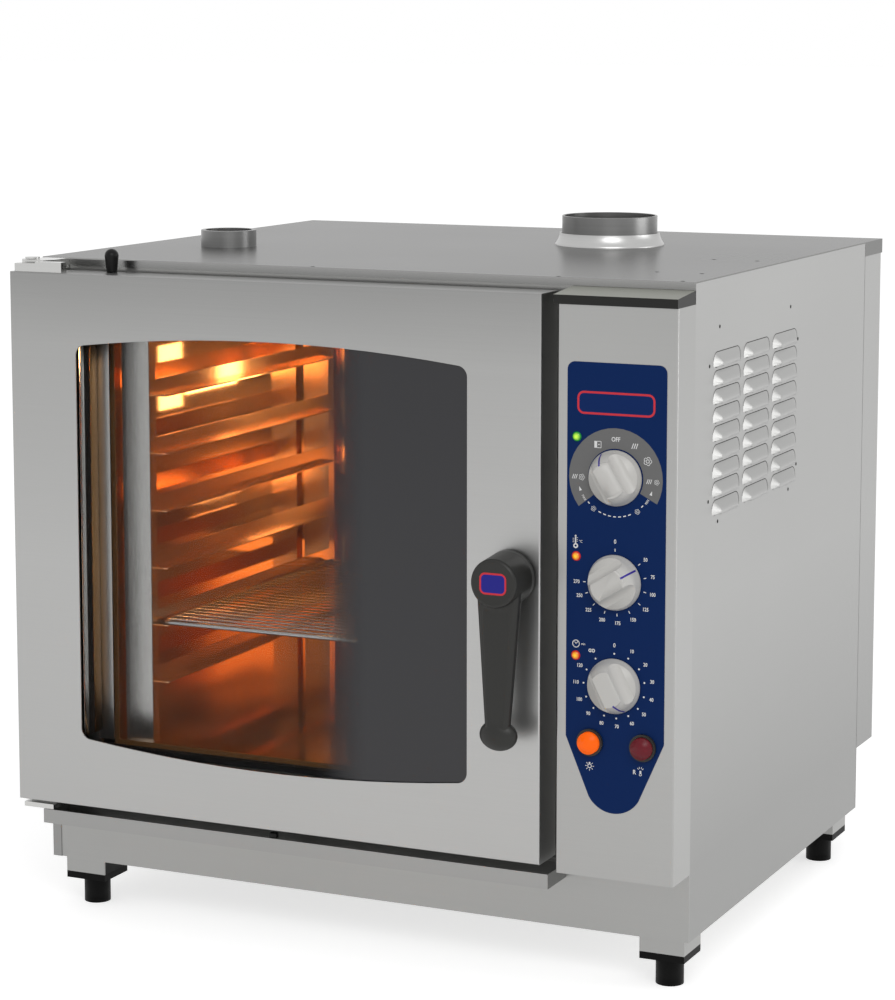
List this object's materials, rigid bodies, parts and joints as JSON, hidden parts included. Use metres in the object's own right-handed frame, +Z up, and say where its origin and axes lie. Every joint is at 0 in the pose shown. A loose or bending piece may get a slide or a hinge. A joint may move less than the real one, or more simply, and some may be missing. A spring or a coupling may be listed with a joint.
{
  "type": "combi steamer oven",
  "caption": "Counter-top combi steamer oven with a glazed side-hung door, turning latch handle, control box with knobs and buttons, tray racks, fan, flue and vent.",
  "frame": {"origin": "middle of the footprint, on the floor under the feet", "axes": "+X to the right seen from the front, +Y from the door to the back, +Z up"},
  "size_m": [0.8671, 0.8332, 0.857],
  "materials": {
    "brushed_steel": "fine horizontal brushed grain",
    "cavity_steel": "bright polished sheet",
    "polished_steel": "polished",
    "mineral_wool": "matt fibre",
    "seal_rubber": "matt silicone",
    "window_glass": "clear with a grey tint towards the handle side",
    "lamp_glass": "clear",
    "lamp_bulb": "warm lit bulb",
    "handle_plastic": "fine matt moulded nylon",
    "black_plastic": "matt",
    "knob_plastic": "satin silver grey",
    "overlay_film": "printed film, satin",
    "orange_lens": "lit translucent lens",
    "red_lens": "dark translucent lens",
    "pilot_lens": "small domed lenses",
    "dark_cap": "satin grey green with a dark edge",
    "motor_paint": "satin",
    "brass_fitting": "machined",
    "copper_pipe": "drawn tube"
  },
  "bodies": {
    "cabinet": {"top_cover": "brushed_steel", "right_side_panel": "brushed_steel", "left_side_panel": "brushed_steel", "rear_cover": "brushed_steel", "base_pan": "brushed_steel", "plinth_front": "brushed_steel", "drip_gutter": "brushed_steel", "leg_brackets": "brushed_steel", "feet": "black_plastic", "cavity_shell": "cavity_steel", "cavity_insulation": "mineral_wool", "cavity_front_frame": "brushed_steel", "door_gasket": "seal_rubber", "left_rack": "cavity_steel", "right_rack": "cavity_steel", "wire_shelf": "cavity_steel", "lamp_housings": "cavity_steel", "lamp_glasses": "lamp_glass", "lamp_bulbs": "lamp_bulb", "fan_baffle": "cavity_steel", "fan_motor": "motor_paint", "heat_exchanger": "cavity_steel", "water_valve": "brass_fitting", "steam_pipe": "copper_pipe", "drain_pipe": "polished_steel", "gas_valve": "brass_fitting", "cable_gland": "black_plastic", "flue_tube": "polished_steel", "flue_collar": "polished_steel", "vent_tube": "polished_steel", "hinge_brackets": "polished_steel", "latch_keeper": "polished_steel", "control_box": "brushed_steel", "control_cap": "dark_cap", "control_overlay": "overlay_film", "mode_switch": "black_plastic", "thermostat": "black_plastic", "timer": "black_plastic", "pilot_lamps": "pilot_lens", "button_bezels": "black_plastic", "button_contacts": "black_plastic"},
    "door": {"door_skin": "brushed_steel", "door_liner": "cavity_steel", "outer_glass": "window_glass", "glass_seals": "seal_rubber", "inner_glass": "window_glass", "door_peg": "black_plastic", "door_hinge_pins": "polished_steel"},
    "handle": {"handle_lever": "handle_plastic", "latch_shaft": "polished_steel"},
    "mode_knob": {"mode_knob": "knob_plastic", "mode_spindle": "polished_steel"},
    "thermostat_knob": {"thermostat_knob": "knob_plastic", "thermostat_spindle": "polished_steel"},
    "timer_knob": {"timer_knob": "knob_plastic", "timer_spindle": "polished_steel"},
    "lamp_button": {"lamp_button": "orange_lens"},
    "reset_button": {"reset_button": "red_lens"},
    "fan": {"fan_impeller": "cavity_steel", "fan_shaft": "polished_steel"}
  },
  "joints": [
    {"name": "door_hinge", "type": "hinge", "parent": "cabinet", "child": "door", "pos_m": [-0.42055, -0.33275, 0.47735], "axis": [0, 0, -1], "range_deg": [0, 120]},
    {"name": "handle_turn", "type": "hinge", "parent": "door", "child": "handle", "pos_m": [0.23175, -0.36465, 0.4826], "axis": [0, 1, 0], "range_deg": [0, 90]},
    {"name": "mode_turn", "type": "hinge", "parent": "cabinet", "child": "mode_knob", "pos_m": [0.35495, -0.35775, 0.6022], "axis": [0, 1, 0], "continuous": true},
    {"name": "thermostat_turn", "type": "hinge", "parent": "cabinet", "child": "thermostat_knob", "pos_m": [0.35495, -0.35775, 0.4841], "axis": [0, 1, 0], "range_deg": [-58, 209]},
    {"name": "timer_turn", "type": "hinge", "parent": "cabinet", "child": "timer_knob", "pos_m": [0.35495, -0.35775, 0.366], "axis": [0, 1, 0], "range_deg": [-153, 169]},
    {"name": "lamp_button_press", "type": "slide", "parent": "cabinet", "child": "lamp_button", "axis": [0, 1, 0], "range_m": [0, 0.0035], "stiffness_N_per_m": 400},
    {"name": "reset_button_press", "type": "slide", "parent": "cabinet", "child": "reset_button", "axis": [0, 1, 0], "range_m": [0, 0.0035], "stiffness_N_per_m": 400},
    {"name": "fan_spin", "type": "hinge", "parent": "cabinet", "child": "fan", "pos_m": [0.15945, -0.02275, 0.4917], "axis": [1, 0, 0], "continuous": true}
  ]
}
